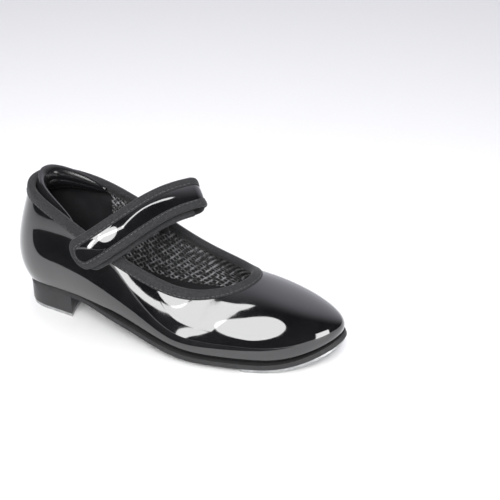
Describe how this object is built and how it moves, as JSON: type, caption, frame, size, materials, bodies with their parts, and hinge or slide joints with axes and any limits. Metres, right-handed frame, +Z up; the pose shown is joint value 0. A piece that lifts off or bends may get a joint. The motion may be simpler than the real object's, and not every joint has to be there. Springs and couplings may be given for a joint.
{
  "type": "tap shoe",
  "caption": "Child's strap tap shoe for the right foot: patent upper with bound topline, padded collar, hook-and-loop strap, stacked heel and metal toe and heel taps.",
  "frame": {"origin": "middle of the shoe's length and width, on the floor it stands on", "axes": "+X towards the toe, +Y towards the inner (medial) side, +Z up"},
  "size_m": [0.1978, 0.0729, 0.0829],
  "materials": {
    "patent_upper": "gloss",
    "patent_strap": "gloss",
    "strap_binding": "matte",
    "topline_binding": "matte",
    "hook_loop": "matte",
    "quarter_lining": "satin",
    "vamp_lining": "matte",
    "collar_vinyl": "satin",
    "foam": "matte",
    "fibre_board": "matte",
    "insock": "satin",
    "outsole": "matte",
    "shank_steel": "satin",
    "heel_block": "satin",
    "tap_alloy": "satin",
    "screw_steel": "satin",
    "rivet_metal": "satin",
    "nail_steel": "satin"
  },
  "bodies": {
    "shoe": {"collar_cover": "collar_vinyl", "collar_foam": "foam", "forepart_filler": "foam", "heel_block": "heel_block", "heel_counter": "fibre_board", "heel_nail_1": "nail_steel", "heel_nail_2": "nail_steel", "heel_nail_3": "nail_steel", "heel_nail_4": "nail_steel", "heel_tap": "tap_alloy", "heel_tap_screw_1": "screw_steel", "heel_tap_screw_2": "screw_steel", "heel_tap_screw_3": "screw_steel", "insock": "insock", "insole_board": "fibre_board", "loop_tape": "hook_loop", "outsole": "outsole", "quarter_lining": "quarter_lining", "shank": "shank_steel", "strap_bend": "patent_strap", "strap_root": "patent_strap", "strap_tab": "patent_strap", "strap_tab_binding": "strap_binding", "toe_puff": "fibre_board", "toe_tap": "tap_alloy", "toe_tap_rivet_1": "rivet_metal", "toe_tap_rivet_2": "rivet_metal", "toe_tap_rivet_3": "rivet_metal", "topline_binding": "topline_binding", "upper_shell": "patent_upper", "vamp_lining": "vamp_lining"},
    "flap": {"strap_flap": "patent_strap", "strap_flap_binding": "strap_binding", "hook_tape": "hook_loop"}
  },
  "joints": [
    {"name": "strap_peel", "type": "hinge", "parent": "shoe", "child": "flap", "pos_m": [0.00496, 0.02164, 0.07458], "axis": [-0.6091, 0.4654, 0.6422], "range_deg": [0, 110], "deforming": ["strap_bend"]}
  ]
}
